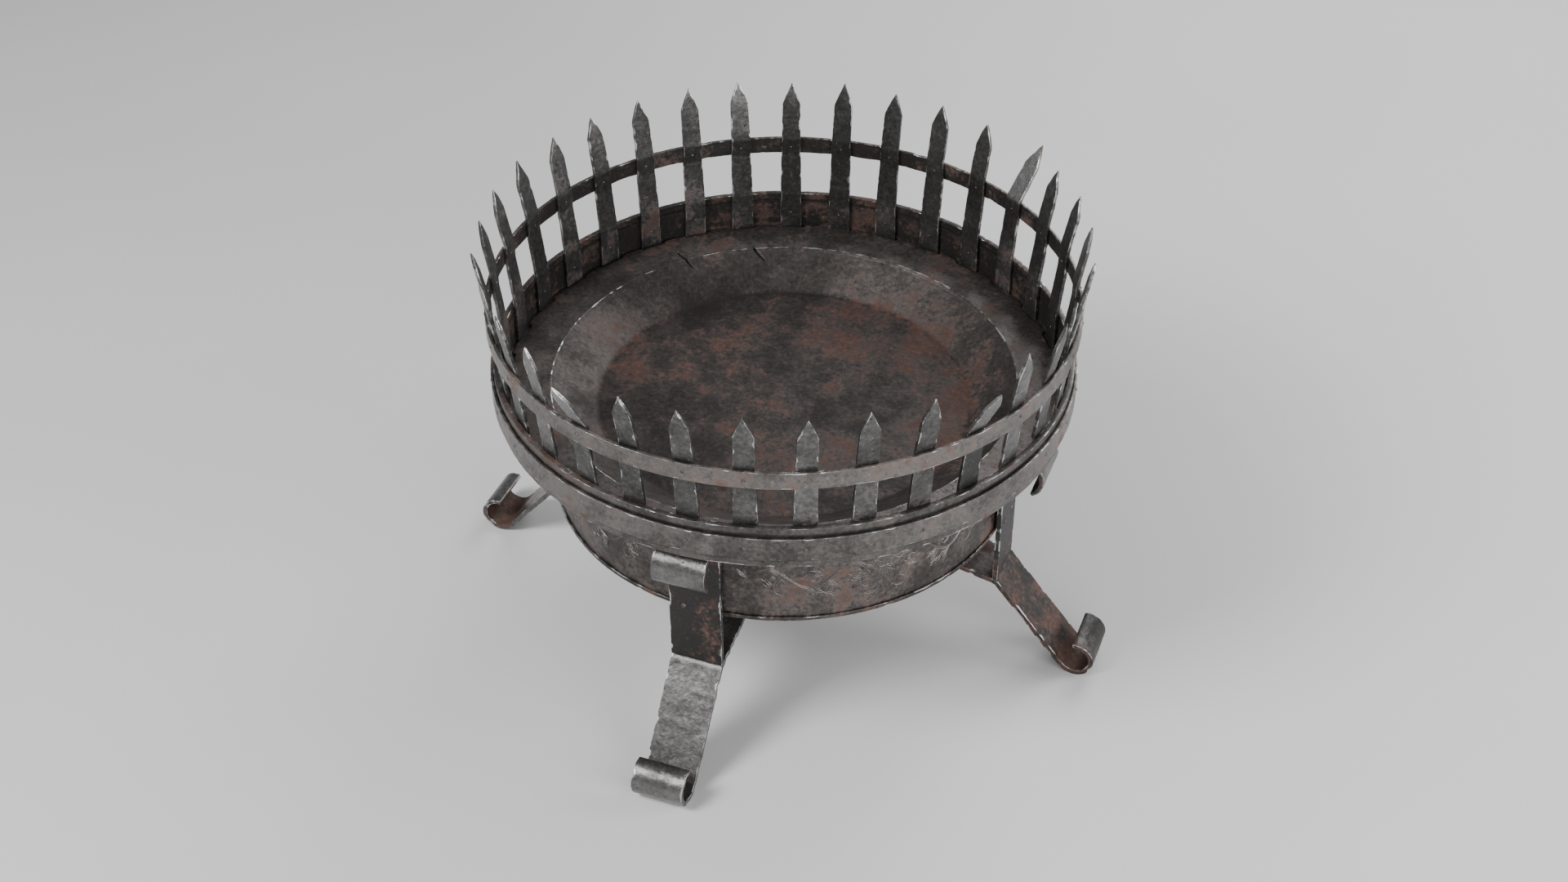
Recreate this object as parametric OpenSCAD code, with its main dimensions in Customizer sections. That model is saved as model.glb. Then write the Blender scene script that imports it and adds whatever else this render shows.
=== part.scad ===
// Open coal forge: a dished fire pan inside a picket-fence rim, on a shallow drum
// carried by four flat-bar legs with scrolled ends.
// Millimetres, +Z up. The origin is on the floor under the middle of the drum,
// and the four legs lie along the X and Y axes.

/* [Rim] */
// Outer radius of the riveted hoop
rim_r = 400; // [398:1:410]
// Height of the riveted hoop's lower edge above the floor
rim_z = 392; // [388:1:400]
// Height of the riveted hoop
hoop_h = 35; // [30:1:36]
// Thickness of the riveted hoop
hoop_t = 4.5; // [3:0.5:5]
// Thickness of the base band behind the riveted hoop
band_t = 8; // [6:0.5:9]
// Height of the base band
band_h = 62; // [58:1:66]
// How far the base band shows below the riveted hoop
band_drop = 14; // [12:1:16]
// Thickness of the ring shelf that carries the fire pan
shelf_t = 5; // [4:0.5:6]

/* [Fence] */
// Number of pickets around the rim
picket_count = 33; // [28:1:36]
// Thickness of a picket
picket_t = 5; // [4:0.5:6]
// Width of a picket at its foot
picket_foot_w = 34; // [28:1:36]
// Width of a picket at the shoulders of its point
picket_top_w = 27; // [20:1:30]
// Length of a picket's point
point_len = 32; // [25:1:45]
// Length of a picket above the fence hoop
picket_free_len = 90; // [70:1:100]
// Outward lean of a picket above the fence hoop, in degrees
picket_lean = 10.7; // [6:0.1:14]
// Largest difference in lean from one picket to the next, in degrees
lean_scatter = 1.2; // [0:0.1:2]
// Height of the fence hoop's lower edge above the riveted hoop's
fence_rise = 113; // [105:1:120]
// Height of the fence hoop
fence_hoop_h = 26; // [20:1:30]
// Thickness of the fence hoop
fence_hoop_t = 5; // [4:0.5:6]

/* [Fire pan] */
// Radius of the sharp lip where the bowl begins
lip_r = 321; // [316:1:322]
// Radius of the flat floor of the bowl
bowl_floor_r = 258; // [240:1:265]
// Depth of the bowl below the flange
bowl_depth = 41; // [35:1:50]
// Thickness of the pan's sheet
pan_t = 4; // [3:0.5:5]

/* [Drum] */
// Outer radius of the drum's wall
drum_r = 320.5; // [318:0.5:321]
// Thickness of the drum's wall, floor and top flange
drum_t = 4; // [3:0.5:4]
// Height of the drum from its floor to the shelf
drum_h = 157; // [150:1:165]
// Height of the bead around the drum's lower edge
bead_h = 7; // [5:1:7]
// How far the bead stands out from the wall
bead_t = 2.7; // [2:0.1:2.9]
// Width of the drum's top flange, under the shelf
drum_flange_w = 26; // [24:1:30]

/* [Legs] */
// Width of the leg straps
strap_w = 75; // [60:1:80]
// Thickness of the leg straps
strap_t = 8; // [6:0.5:9]
// Gap between the drum's wall and an upright
upright_gap = 3.1; // [3:0.1:4]
// Outer radius of the scroll at the top of an upright
top_scroll_r = 31; // [28:1:34]
// Height of that scroll's centre
top_scroll_z = 328; // [315:1:330]
// Height of the knee, where an upright stands on its foot strap
knee_z = 138.5; // [130:0.5:150]
// Outer radius of the scroll that each leg stands on
foot_scroll_r = 28; // [24:1:32]
// Distance of that scroll's centre from the middle
foot_scroll_x = 451; // [430:1:470]
// Rise of the brace from the knee towards the middle, in degrees
brace_rise = 13; // [10:0.5:16]
// How far round both scrolls are rolled, in degrees
scroll_turn = 240; // [210:5:250]

/* [Rivets] */
// Radius of the small rivets' shanks
small_shank_r = 1.5; // [1.5:0.1:3]
// Radius of the small rivets' heads
small_head_r = 2.8; // [2.5:0.1:5]
// Radius of the leg rivets' shanks
leg_shank_r = 2.5; // [2:0.1:3.5]
// Radius of the leg rivets' heads
leg_head_r = 4.2; // [3.5:0.1:7]
// Number of rivets that hold the drum's flange to the shelf
shelf_rivet_count = 16; // [8:4:24]

/* [Hidden] */
$fn = 96;
rivet_play = 0.1;      // radial play of a shank in its hole
head_rise = 0.4;       // height of a domed head as a part of its radius
tail_h = 1.5;          // height of the flattened end of a rivet
cut = 1;               // how far a cutter runs past the metal it cuts
weld = 1;              // how far two stretches of one bar run into each other
roll_swell = 0.1;      // extra thickness of a bar on each face where it is rolled
leg_count = 4;
wide = 1000;           // longer than anything in the part

pitch = 360 / picket_count;
band_out_r = rim_r - hoop_t;
band_in_r = band_out_r - band_t;
band_z = rim_z - band_drop;
shelf_z = band_z;
pan_z = shelf_z + shelf_t;
fence_z = rim_z + fence_rise;
fence_in_r = rim_r - fence_hoop_t;

// A flat bar inside a round hoop touches it with its corners, so its outer face is a chord.
function chord_r(r, w) = sqrt(r * r - w * w / 4);
fit_gap = 0.05;
foot_face_r = chord_r(band_in_r, picket_foot_w) - fit_gap;
fence_face_r = chord_r(fence_in_r, picket_foot_w) - fit_gap;
// The pan clears the rivet tails inside the pickets, and its lugs stand between the pickets.
pan_gap = 1;
pan_flange_r = foot_face_r - picket_t - tail_h - pan_gap;
lug_r = band_in_r - 2 * pan_gap;
lug_w = 2 * PI * foot_face_r / picket_count - picket_foot_w - 5 * pan_gap;

drum_z = shelf_z - drum_h;
drum_in_r = drum_r - drum_t;
shelf_in_r = drum_r + drum_t;
shelf_rivet_r = shelf_in_r + (drum_flange_w - drum_t) / 2;

upright_in_r = drum_r + upright_gap;
upright_out_r = upright_in_r + strap_t;
leg_rivet_z = drum_z + drum_t + bead_h;
leg_rivet_y = 16;
// The brace runs up at an easy slope, then climbs to a pad under the drum's floor.
brace_bend_x = 240;
brace_bend_z = knee_z + (upright_out_r - brace_bend_x) * tan(brace_rise);
pad_out_x = 130;
pad_in_x = 48;
brace_rivet_xs = [68, 108];

// Pickets that have been knocked outwards: number and lean.
knocked = [[5, 32], [23, 28], [30, 28]];

function padded(n) = n < 10 ? str("0", n) : str(n);
picket_names = [for (k = [1 : picket_count]) str("picket_", padded(k))];
upright_names = [for (k = [1 : leg_count]) str("upright_", k)];
foot_names = [for (k = [1 : leg_count]) str("foot_strap_", k)];

iron = "dimgray";
worn_iron = "gray";
rusty_iron = "rosybrown";

// --- helpers -------------------------------------------------------------

module ring(out_r, in_r, h) {
    difference() {
        cylinder(r = out_r, h = h);
        translate([0, 0, -cut]) cylinder(r = in_r, h = h + 2 * cut);
    }
}

// Puts its children at count places around the Z axis.
module around(count, first = 0) {
    for (k = [0 : count - 1]) rotate([0, 0, first + k * 360 / count]) children();
}

// A hole along +X, from x0 to x1.
module hole_x(r, x0, x1) {
    translate([x0, 0, 0]) rotate([0, 90, 0]) cylinder(r = r, h = x1 - x0);
}

// A rivet along +Z: its domed head stands on z = 0, and its shank runs down through the grip
// to a flattened tail.
module rivet(shank_r, head_r, grip) {
    head_h = head_r * head_rise;
    ball_r = (head_r * head_r + head_h * head_h) / (2 * head_h);
    intersection() {
        translate([0, 0, head_h - ball_r]) sphere(r = ball_r);
        cylinder(r = head_r + cut, h = head_h + cut);
    }
    translate([0, 0, -grip - tail_h / 2]) cylinder(r = shank_r, h = grip + tail_h / 2 + head_h / 2);
    translate([0, 0, -grip - tail_h]) cylinder(r = head_r, h = tail_h);
}

// A rivet whose head points outwards along +X, standing on x = face.
module rivet_out(shank_r, head_r, face, grip) {
    translate([face, 0, 0]) rotate([0, 90, 0]) rivet(shank_r, head_r, grip);
}

// Flat bar bent along a path: the path is one face, and the bar lies to its right.
function unit(v) = v / norm(v);
function left_of(v) = [-v.y, v.x];
function face_normal(path, i) = left_of(unit(path[i + 1] - path[i]));
function mitre(path, i, t) =
    let (last = len(path) - 1,
         a = face_normal(path, max(i - 1, 0)),
         b = face_normal(path, min(i, last - 1)))
    path[i] - (a + b) * t / (1 + a * b);
function bar_outline(path, t) =
    concat(path, [for (i = [len(path) - 1 : -1 : 0]) mitre(path, i, t)]);

// A rolled end in the plane of the bar's edge, with a gap from angle gap_from for gap_turn.
module rolled_end(centre, out_r, t, gap_from, gap_turn) {
    translate(centre) difference() {
        circle(r = out_r + roll_swell);
        circle(r = out_r - t - roll_swell);
        polygon([
            [0, 0],
            2 * out_r * [cos(gap_from), sin(gap_from)],
            3 * out_r * [cos(gap_from + gap_turn / 2), sin(gap_from + gap_turn / 2)],
            2 * out_r * [cos(gap_from + gap_turn), sin(gap_from + gap_turn)]
        ]);
    }
}

// Turns a profile drawn as radius and height into a bar of width w along the +X leg.
module across(w) {
    rotate([90, 0, 0]) linear_extrude(height = w, center = true) children();
}

// --- rim and fence --------------------------------------------------------

band_rivet_z = rim_z + hoop_h / 2;
fence_rivet_z = fence_z + fence_hoop_h / 2;

module base_band() {
    color(rusty_iron) difference() {
        translate([0, 0, band_z]) ring(band_out_r, band_in_r, band_h);
        translate([0, 0, band_rivet_z]) around(picket_count)
            hole_x(small_shank_r + rivet_play, band_in_r - cut, rim_r);
    }
}

module riveted_hoop() {
    color(iron) difference() {
        translate([0, 0, rim_z]) ring(rim_r, band_out_r, hoop_h);
        translate([0, 0, band_rivet_z]) around(picket_count)
            hole_x(small_shank_r + rivet_play, band_in_r, rim_r + cut);
    }
}

module fence_hoop() {
    color(iron) difference() {
        translate([0, 0, fence_z]) ring(rim_r, fence_in_r, fence_hoop_h);
        translate([0, 0, fence_rivet_z]) around(picket_count)
            hole_x(small_shank_r + rivet_play, fence_in_r - cut, rim_r + cut);
    }
}

// Lean of picket k above the fence hoop: each differs a little from its neighbours.
function scatter(k) = sin(k * 137.5 + 20 * sin(k * 77));
function knocked_lean(k) = [for (entry = knocked) if (entry[0] == k) entry[1]];
function lean_of(k) =
    len(knocked_lean(k)) > 0 ? knocked_lean(k)[0] : picket_lean + lean_scatter * scatter(k);

// One picket: a flat bar that stands on the shelf against the band, leans out to the fence
// hoop, lies flat against it, and leans out again to its point.
module picket(k) {
    lean = lean_of(k);
    fence_top = fence_z + fence_hoop_h;
    tip_z = fence_top + picket_free_len * cos(lean);
    shoulder_z = tip_z - point_len * cos(lean);
    reach = picket_free_len + picket_t;
    path = [
        [fence_face_r + reach * sin(lean), fence_top + reach * cos(lean)],
        [fence_face_r, fence_top],
        [fence_face_r, fence_z],
        [foot_face_r, band_z + band_h],
        [foot_face_r, pan_z]
    ];
    rotate([0, 0, k * pitch]) color(worn_iron) difference() {
        intersection() {
            across(2 * picket_foot_w) polygon(bar_outline(path, picket_t));
            translate([foot_face_r - 2 * picket_t, 0, 0]) rotate([90, 0, 90])
                linear_extrude(height = wide) polygon([
                    [-picket_foot_w / 2, pan_z - cut],
                    [picket_foot_w / 2, pan_z - cut],
                    [picket_top_w / 2, shoulder_z],
                    [0, tip_z],
                    [-picket_top_w / 2, shoulder_z]
                ]);
        }
        translate([0, 0, band_rivet_z])
            hole_x(small_shank_r + rivet_play, foot_face_r - picket_t - cut, rim_r);
        translate([0, 0, fence_rivet_z])
            hole_x(small_shank_r + rivet_play, fence_face_r - picket_t - cut, rim_r);
    }
}

module band_rivets() {
    color(worn_iron) translate([0, 0, band_rivet_z]) around(picket_count)
        rivet_out(small_shank_r, small_head_r, rim_r, rim_r - foot_face_r + picket_t);
}

module fence_rivets() {
    color(worn_iron) translate([0, 0, fence_rivet_z]) around(picket_count)
        rivet_out(small_shank_r, small_head_r, rim_r, rim_r - fence_face_r + picket_t);
}

// --- shelf and fire pan -----------------------------------------------------

module shelf_rivet_cutter() {
    cylinder(r = leg_shank_r + rivet_play, h = drum_t + shelf_t + 2 * cut);
}

module shelf_ring() {
    color(iron) difference() {
        translate([0, 0, shelf_z]) ring(band_in_r, shelf_in_r, shelf_t);
        around(shelf_rivet_count, 180 / shelf_rivet_count)
            translate([shelf_rivet_r, 0, shelf_z - drum_t - cut]) shelf_rivet_cutter();
    }
}

// The flange reaches out between the pickets with one lug in each gap.
module flange_outline() {
    circle(r = pan_flange_r);
    intersection() {
        circle(r = lug_r);
        around(picket_count, pitch / 2)
            translate([0, -lug_w / 2]) square([2 * rim_r, lug_w]);
    }
}

// The bowl in section: its upper face, then its lower face one sheet thickness below.
module bowl_section(edge_r) {
    slope = atan(bowl_depth / (lip_r - bowl_floor_r));
    step = pan_t * tan(slope / 2);
    polygon([
        [edge_r, pan_t], [lip_r, pan_t],
        [bowl_floor_r, pan_t - bowl_depth], [0, pan_t - bowl_depth],
        [0, -bowl_depth], [bowl_floor_r + step, -bowl_depth],
        [lip_r + step, 0], [edge_r, 0]
    ]);
}

module fire_pan() {
    seam_r = (lip_r + pan_flange_r) / 2;
    color(rusty_iron) translate([0, 0, pan_z]) {
        linear_extrude(height = pan_t) difference() {
            flange_outline();
            circle(r = seam_r - weld);
        }
        rotate_extrude() bowl_section(seam_r);
    }
}

// --- drum -----------------------------------------------------------------------

module leg_rivet_places() {
    around(leg_count) for (side = [-1, 1])
        translate([0, side * leg_rivet_y, leg_rivet_z]) children();
}

module brace_rivet_places() {
    around(leg_count) for (x = brace_rivet_xs)
        translate([x, 0, drum_z - strap_t]) children();
}

module drum_wall() {
    wall_z = drum_z + drum_t;
    color(rusty_iron) difference() {
        translate([0, 0, wall_z]) ring(drum_r, drum_in_r, shelf_z - wall_z);
        leg_rivet_places() hole_x(leg_shank_r + rivet_play, drum_in_r - 2 * drum_t, upright_out_r);
    }
}

// The flat ring around the drum's mouth, by which the drum hangs under the shelf.
module drum_flange() {
    color(iron) difference() {
        translate([0, 0, shelf_z - drum_t]) ring(drum_r + drum_flange_w, drum_r, drum_t);
        around(shelf_rivet_count, 180 / shelf_rivet_count)
            translate([shelf_rivet_r, 0, shelf_z - drum_t - cut]) shelf_rivet_cutter();
    }
}

module drum_bead() {
    color(iron) translate([0, 0, drum_z]) ring(drum_r + bead_t, drum_r, bead_h);
}

module drum_floor() {
    color(iron) difference() {
        translate([0, 0, drum_z]) cylinder(r = drum_r, h = drum_t);
        brace_rivet_places() cylinder(r = leg_shank_r + rivet_play, h = strap_t + drum_t + cut);
    }
}

// Flush on top, so that the pan lies flat on the shelf, with the head under the drum's flange.
module shelf_rivets() {
    color(worn_iron) around(shelf_rivet_count, 180 / shelf_rivet_count)
        translate([shelf_rivet_r, 0, shelf_z - drum_t]) {
            cylinder(r = leg_shank_r, h = drum_t + shelf_t);
            translate([0, 0, -tail_h]) cylinder(r = leg_head_r, h = tail_h);
        }
}

// --- legs -------------------------------------------------------------------------

module upright(k) {
    centre = [upright_in_r + top_scroll_r, top_scroll_z];
    rotate([0, 0, (k - 1) * 90]) color(worn_iron) difference() {
        union() {
            across(strap_w) polygon([
                [upright_in_r, knee_z + strap_t * tan(brace_rise)],
                [upright_out_r, knee_z],
                [upright_out_r, top_scroll_z + weld],
                [upright_in_r, top_scroll_z + weld]
            ]);
            across(strap_w) rolled_end(centre, top_scroll_r, strap_t, 180, 360 - scroll_turn);
        }
        for (side = [-1, 1]) translate([0, side * leg_rivet_y, leg_rivet_z])
            hole_x(leg_shank_r + rivet_play, drum_in_r, upright_out_r + cut);
    }
}

// The diagonal's upper face is tangent to the inside of the scroll that it runs into.
module foot_strap(k) {
    knee = [upright_out_r, knee_z];
    centre = [foot_scroll_x, foot_scroll_r + roll_swell];
    inner_r = foot_scroll_r - strap_t;
    to_knee = knee - centre;
    touch_angle = atan2(to_knee.y, to_knee.x) + acos(inner_r / norm(to_knee));
    touch = centre + inner_r * [cos(touch_angle), sin(touch_angle)];
    gap_from = touch_angle + scroll_turn;
    path = [
        [pad_in_x, drum_z],
        [pad_out_x, drum_z],
        [brace_bend_x, brace_bend_z],
        knee,
        touch + weld * unit(touch - knee)
    ];
    rotate([0, 0, (k - 1) * 90]) color(worn_iron) difference() {
        union() {
            across(strap_w) polygon(bar_outline(path, strap_t));
            across(strap_w) rolled_end(centre, foot_scroll_r, strap_t, gap_from, 360 - scroll_turn);
        }
        for (x = brace_rivet_xs) translate([x, 0, drum_z - strap_t - cut])
            cylinder(r = leg_shank_r + rivet_play, h = strap_t + 2 * cut);
    }
}

module leg_rivets() {
    tail_face = chord_r(drum_in_r, 2 * (leg_rivet_y + leg_head_r));
    color(worn_iron) leg_rivet_places()
        rivet_out(leg_shank_r, leg_head_r, upright_out_r, upright_out_r - tail_face);
}

module brace_rivets() {
    color(worn_iron) brace_rivet_places() mirror([0, 0, 1])
        rivet(leg_shank_r, leg_head_r, strap_t + drum_t);
}

// --- the nodes ----------------------------------------------------------------------

base_band();
riveted_hoop();
fence_hoop();
shelf_ring();
drum_wall();
drum_flange();
drum_bead();
drum_floor();
fire_pan();
band_rivets();
fence_rivets();
leg_rivets();
brace_rivets();
shelf_rivets();
for (k = [1 : leg_count]) {
    upright(k);
    foot_strap(k);
}
for (k = [0 : picket_count - 1]) {
    picket(k);
}
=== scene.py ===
import math

import bpy
import numpy as np
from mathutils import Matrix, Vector


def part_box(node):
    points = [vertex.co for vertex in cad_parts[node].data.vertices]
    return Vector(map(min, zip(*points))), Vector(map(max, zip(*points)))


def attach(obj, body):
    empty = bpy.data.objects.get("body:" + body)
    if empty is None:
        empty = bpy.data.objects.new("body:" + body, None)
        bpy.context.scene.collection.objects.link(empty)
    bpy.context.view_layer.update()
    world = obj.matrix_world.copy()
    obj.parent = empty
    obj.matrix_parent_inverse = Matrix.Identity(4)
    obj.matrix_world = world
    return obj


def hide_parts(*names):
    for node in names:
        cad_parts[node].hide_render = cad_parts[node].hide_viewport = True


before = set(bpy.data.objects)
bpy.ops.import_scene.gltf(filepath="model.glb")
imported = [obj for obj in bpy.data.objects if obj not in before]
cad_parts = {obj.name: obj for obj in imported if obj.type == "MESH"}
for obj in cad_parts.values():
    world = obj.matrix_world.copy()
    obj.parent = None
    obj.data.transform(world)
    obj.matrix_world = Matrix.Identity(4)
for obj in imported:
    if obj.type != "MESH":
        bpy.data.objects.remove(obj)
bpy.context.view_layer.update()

MM = 0.001
PICKETS = sum(name.startswith("picket_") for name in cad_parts)
PITCH = 2 * math.pi / PICKETS
LEGS = 4

# Sizes that a node's box doesn't give, as the CAD has them. BRACE_BEND and PAD_END_X are places on
# a foot strap's upper face.
HOOP_T = 4.5 * MM
BAND_T = 8 * MM
PICKET_T = 5 * MM
PICKET_FOOT_W = 34 * MM
PICKET_TOP_W = 27 * MM
POINT_LEN = 32 * MM
SHEET_T = 4 * MM
LIP_R = 321 * MM
BOWL_FLOOR_R = 258 * MM
STRAP_W = 75 * MM
STRAP_T = 8 * MM
KNEE_Z = 138.5 * MM
BRACE_BEND = (240 * MM, 159.65 * MM)
PAD_END_X = 130 * MM
FOOT_ROLL_R = 28 * MM
ROLL_TURN = math.radians(240)
LEG_RIVET_Y = 16 * MM
FLOOR_RIVET_X = (68 * MM, 108 * MM)
SHELF_RIVETS = 16

# The riveted hoop's outer radius, the base band's inner one and the drum's outer one.
rim_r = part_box("riveted_hoop")[1].x
band_in_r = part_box("shelf_ring")[1].x
drum_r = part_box("drum_floor")[1].x


# --- noise and meshes -------------------------------------------------

def lattice(cell):
    """A fixed number from 0 to 1 for every cell of a grid."""
    mixed = cell[..., 0] * 73856093 ^ cell[..., 1] * 19349663 ^ cell[..., 2] * 83492791
    for factor in (1274126177, 668265263):
        mixed &= 0x7FFFFFFF
        mixed = (mixed ^ mixed >> 15) * factor
    return (mixed >> 9 & 0xFFFF) / 0xFFFF


def noise(points, size, seed):
    """Smooth noise from -1 to 1, with bumps about size across."""
    scaled = np.asarray(points, float) / size + seed * 17.31
    base = np.floor(scaled).astype(np.int64)
    part = scaled - base
    part = part * part * (3 - 2 * part)
    total = np.zeros(scaled.shape[:-1])
    for corner in range(8):
        step = np.array([corner & 1, corner >> 1 & 1, corner >> 2 & 1])
        total += np.prod(np.where(step, part, 1 - part), axis=-1) * lattice(base + step)
    return 2 * total - 1


def unit(v):
    """The vectors with a length of 1."""
    return v / np.maximum(np.linalg.norm(v, axis=-1, keepdims=True), 1e-12)


def grid_faces(rows, columns, wrap_rows, wrap_columns):
    """Quads of a grid of points, whose rows or columns may close on themselves."""
    i = np.arange(rows if wrap_rows else rows - 1)[:, None]
    j = np.arange(columns if wrap_columns else columns - 1)[None, :]
    i2, j2 = (i + 1) % rows, (j + 1) % columns
    quads = [i * columns + j, i * columns + j2, i2 * columns + j2, i2 * columns + j]
    return np.stack(quads, -1).reshape(-1, 4).tolist()


def joined(parts):
    """Several (points, faces, edge) shapes as one."""
    start, faces = 0, []
    for points, more, _ in parts:
        faces += [[start + n for n in face] for face in more]
        start += len(points)
    points, _, edges = zip(*parts)
    return np.concatenate(points), faces, np.concatenate(edges)


def turned(shape, angle):
    """The shape turned about the Z axis."""
    points, faces, edge = shape
    c, s = math.cos(angle), math.sin(angle)
    return points @ np.array([[c, s, 0], [-s, c, 0], [0, 0, 1]]), faces, edge


SHARP_ANGLE = math.radians(55)


def add_piece(name, shape, slot, replaced=(), body="frame", tone=0.0, rust=0.0):
    """Makes an object of (points, faces, edge) that rides on a body and stands in for the nodes in
    replaced. The iron materials read three values at each point: edge is about 1 on a worn edge
    and 0 away from it, and on the pan's lip and the drum's ribs it is partly a painted highlight;
    tone above 0 is paler and below 0 darker, in places as painted shade or light; and rust above 0
    is rustier."""
    points, faces, edge = shape
    mesh = bpy.data.meshes.new(name)
    mesh.from_pydata(points.tolist(), [], faces)
    for key, value in (("edge", edge), ("tone", tone), ("rust", rust)):
        layer = mesh.attributes.new(key, "FLOAT", "POINT")
        values = np.broadcast_to(value, len(points)).astype(np.float32)
        layer.data.foreach_set("value", values)
    mesh.shade_smooth()
    mesh.set_sharp_from_angle(angle=SHARP_ANGLE)
    piece = bpy.data.objects.new(name, mesh)
    bpy.context.scene.collection.objects.link(piece)
    mesh.materials.append(iron[slot])
    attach(piece, body)
    if replaced:
        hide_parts(*replaced)


# --- flat bar ---------------------------------------------------------

# A bar's rounded corners, how far wear shows from its edges, and the least half width it keeps.
CORNER_STEPS = 2
CORNER_R = 0.7 * MM
EDGE_REACH = 1.1 * MM
LEAST_HALF_W = 0.5 * MM


def bar_section(across, through):
    """Places round a bar's section: how far across and through it from -1 to 1, and which way
    each faces. There are across points between the corners of its wide sides, and through points
    between those of its thin ones."""
    places = []
    for turn, (a, b) in enumerate(((1, 1), (-1, 1), (-1, -1), (1, -1))):
        for step in range(CORNER_STEPS + 1):
            angle = math.pi / 2 * (turn + step / CORNER_STEPS)
            places.append((a, b, math.cos(angle), math.sin(angle)))
        count = through if turn % 2 else across
        for step in range(1, count + 1):
            t = math.cos(math.pi * step / (count + 1))
            places.append([(t, 1, 0, 1), (-1, t, -1, 0), (-t, -1, 0, -1), (1, -t, 1, 0)][turn])
    return np.array(places)


def worn(points, amount, seed):
    """How much metal an edge has lost at each point: a little everywhere, with deeper chips."""
    small = noise(points, 2.6 * MM, seed)
    middle = noise(points, 7 * MM, seed + 3)
    chips = np.clip(noise(points, 11 * MM, seed + 5) - 0.15, 0, 1)
    return amount * (0.36 + 0.22 * small + 0.26 * middle + 1.7 * chips)


def flat_bar(centre, outward, half, thick, loss, across=7, through=1, closed=False,
             dents=0.3 * MM, seed=1):
    """Flat bar along a path, whose half width, thickness and loss at the edges may change from
    place to place. Its faces are only dented inwards, and its edges lose metal nearly everywhere.
    outward is the way one wide side faces."""
    count = len(centre)
    if closed:
        along = np.roll(centre, -1, 0) - np.roll(centre, 1, 0)
    else:
        along = np.gradient(centre, axis=0)
    side = unit(np.cross(outward, unit(along)))
    half, thick, loss = (np.broadcast_to(x, count).astype(float) for x in (half, thick, loss))
    gone_left, gone_right = worn(centre, loss, seed + 11), worn(centre, loss, seed + 41)
    left = np.maximum(half - gone_left, LEAST_HALF_W)
    right = np.maximum(half - gone_right, LEAST_HALF_W)
    if not closed:
        trim = np.zeros(count)
        trim[[0, -1]] = CORNER_R
        left, right, thick = left - trim / 2, right - trim / 2, thick - 1.8 * trim
    a, b, da, db = bar_section(across, through).T
    reach = np.where(a >= 0, right[:, None], left[:, None])
    corner = np.minimum(CORNER_R, reach * 0.45)
    u = a * (reach - corner) + da * corner
    v = b * (thick[:, None] / 2 - corner) + db * corner
    points = centre[:, None] + u[..., None] * side[:, None] + v[..., None] * outward[:, None]
    facing = unit(da[:, None] * side[:, None] + db[:, None] * outward[:, None])
    hammered = noise(points, 12 * MM, seed) + 0.5 * noise(points, 4.5 * MM, seed + 1)
    points = points - facing * (dents * (1.5 - hammered) / 1.5)[..., None]
    away = np.maximum(reach - np.abs(u), thick[:, None] / 2 - np.abs(v))
    gone = np.where(a >= 0, gone_right[:, None], gone_left[:, None])
    chipped = np.clip(1.4 * gone / loss[:, None] - 0.35, 0, 1)
    shown_to = EDGE_REACH * (1 + 1.6 * chipped)
    edge = np.exp(-np.maximum(away, 0) / shown_to) * (0.72 + 0.5 * chipped)
    sides = len(a)
    faces = grid_faces(count, sides, closed, True)
    if not closed:
        faces.append(list(range(sides))[::-1])
        faces.append([(count - 1) * sides + n for n in range(sides)])
    return points.reshape(-1, 3), faces, edge.reshape(-1)


def hoop(radius, height, width, thick, lying=False, step=3 * MM, loss=0.35 * MM, **more):
    """A bar bent round into a ring, standing or lying flat. Its radius and height are those of its
    middle line."""
    count = round(2 * math.pi * radius / step)
    angle = np.arange(count) * 2 * math.pi / count
    radial = np.stack([np.cos(angle), np.sin(angle), 0 * angle], -1)
    centre = radial * radius + [0, 0, height]
    outward = np.tile([0.0, 0.0, 1.0], (count, 1)) if lying else radial
    return flat_bar(centre, outward, width / 2, thick, loss, closed=True, **more)


BEND_STEPS = 9


def rounded(corners, radius):
    """A path through these points, with its bends rounded."""
    corners = [np.array(c, float) for c in corners]
    path = [corners[0]]
    for before, at, after in zip(corners, corners[1:], corners[2:]):
        back, on = unit(before - at), unit(after - at)
        half = math.acos(np.clip(back @ on, -1, 1)) / 2
        limit = 0.45 * min(np.linalg.norm(before - at), np.linalg.norm(after - at))
        reach = min(radius / math.tan(half), limit)
        for t in np.linspace(0, 1, BEND_STEPS):
            path.append(at + back * reach * (1 - t) ** 2 + on * reach * t ** 2)
    path.append(corners[-1])
    return np.array(path)


ARC_STEPS = 40


def arc(centre, radius, start, turn):
    """Points on an arc of a circle, from the angle start on through the angle turn."""
    angle = start + turn * np.linspace(0, 1, ARC_STEPS)
    return np.array(centre) + radius * np.stack([np.cos(angle), np.sin(angle)], -1)


def even(path, step):
    """The path with points at even distances, and the distance of each from its start."""
    lengths = np.r_[0, np.cumsum(np.linalg.norm(np.diff(path, axis=0), axis=1))]
    along = np.linspace(0, lengths[-1], max(2, round(lengths[-1] / step) + 1))
    return np.stack([np.interp(along, lengths, path[:, k]) for k in (0, 1)], -1), along


def upright_plane(path):
    """A path of radius and height as points on the +X side, and the way its left side faces."""
    ahead = unit(np.gradient(path, axis=0))
    zero = np.zeros(len(path))
    points = np.stack([path[:, 0], zero, path[:, 1]], -1)
    return points, np.stack([-ahead[:, 1], zero, ahead[:, 0]], -1)


# --- materials --------------------------------------------------------

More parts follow.
